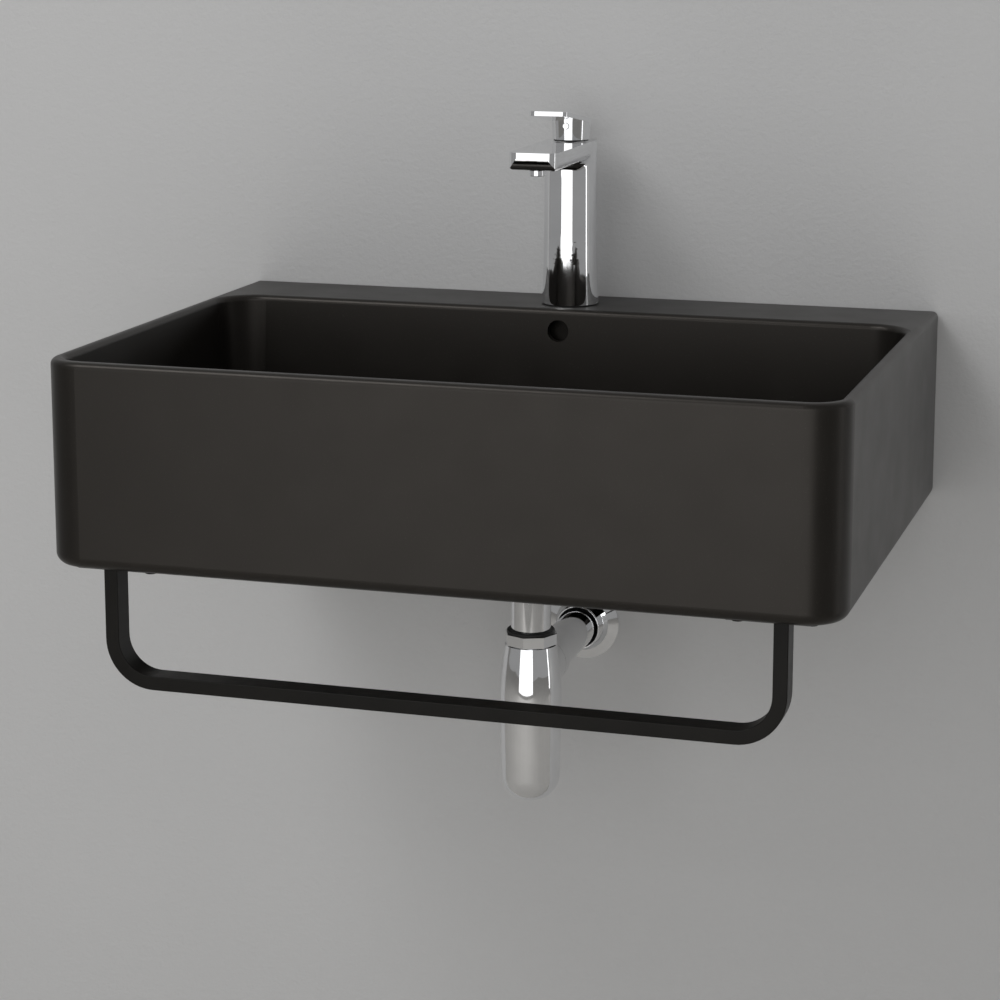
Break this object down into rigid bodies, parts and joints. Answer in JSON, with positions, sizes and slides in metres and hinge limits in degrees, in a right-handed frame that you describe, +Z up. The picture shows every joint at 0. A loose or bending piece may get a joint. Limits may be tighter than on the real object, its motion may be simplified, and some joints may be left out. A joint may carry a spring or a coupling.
{
  "type": "wall-hung washbasin",
  "caption": "Rectangular wall-hung ceramic washbasin with a flat-spout lever tap, push-open waste, chrome bottle trap and a towel rail under its front.",
  "frame": {"origin": "midway between the two wall-bolt holes, on the flat back face of the basin", "axes": "+X along the front of the basin, +Y into the wall along the bolts, +Z up"},
  "size_m": [0.6, 0.471, 0.561],
  "materials": {
    "glaze": "satin dark glaze on vitreous china",
    "rail_paint": "satin dark powder coat",
    "chrome": "polished chrome",
    "rubber": "black rubber",
    "dark_plastic": "matt black plastic",
    "button": "dark gloss plastic",
    "nylon": "natural nylon",
    "brass": "machined brass",
    "steel": "zinc-plated steel",
    "disc_ceramic": "ground alumina"
  },
  "bodies": {
    "washbasin": {"aerator_housing": "chrome", "aerator_insert": "nylon", "aerator_seal": "rubber", "base_gasket": "rubber", "basin": "glaze", "cartridge_base": "nylon", "cartridge_housing": "nylon", "click_cartridge": "nylon", "cover_ring": "dark_plastic", "cup_seal": "rubber", "dip_tube": "nylon", "fixed_disc": "disc_ceramic", "horseshoe_gasket": "rubber", "horseshoe_plate": "steel", "outlet_nut": "chrome", "outlet_seal": "rubber", "outlet_tube": "chrome", "port_seals": "rubber", "rail_anchors": "nylon", "rail_plate_left": "rail_paint", "rail_plate_right": "rail_paint", "rail_screws": "rail_paint", "retaining_nut": "brass", "rosette_seal": "rubber", "stud_nut": "steel", "tail_nut": "chrome", "tail_seal": "rubber", "tail_tube": "chrome", "tap_body": "chrome", "tap_stud": "steel", "towel_rail": "rail_paint", "trap_body": "chrome", "trap_cup": "chrome", "trap_nut": "chrome", "trap_seal": "rubber", "wall_bushes": "nylon", "wall_rosette": "chrome", "waste_body": "chrome", "waste_gasket": "rubber", "waste_nut": "brass", "waste_washer": "rubber"},
    "mixer_carrier": {"spindle_carrier": "nylon", "pivot_pin": "steel"},
    "lever": {"lever_handle": "chrome", "lever_stem": "steel", "grub_screw": "steel", "index_button": "button"},
    "disc_drive": {"moving_disc": "disc_ceramic", "disc_slider": "nylon"},
    "plug": {"waste_cap": "chrome", "cap_seal": "rubber", "click_spindle": "steel"}
  },
  "joints": [
    {"name": "tap_swivel", "type": "hinge", "parent": "washbasin", "child": "mixer_carrier", "pos_m": [0, -0.048, 0.177], "axis": [0, 0, 1], "range_deg": [-45, 45]},
    {"name": "tap_lift", "type": "hinge", "parent": "mixer_carrier", "child": "lever", "pos_m": [0, -0.048, 0.177], "axis": [-1, 0, 0], "range_deg": [0, 20]},
    {"name": "disc_slide", "type": "slide", "parent": "mixer_carrier", "child": "disc_drive", "axis": [0, -1, 0], "range_m": [0, 0.0035]},
    {"name": "plug_lift", "type": "slide", "parent": "washbasin", "child": "plug", "axis": [0, 0, 1], "range_m": [0, 0.009]}
  ],
  "couplings": [
    {"joint": "disc_slide", "follows": "tap_lift", "m_per_rad": 0.01}
  ]
}
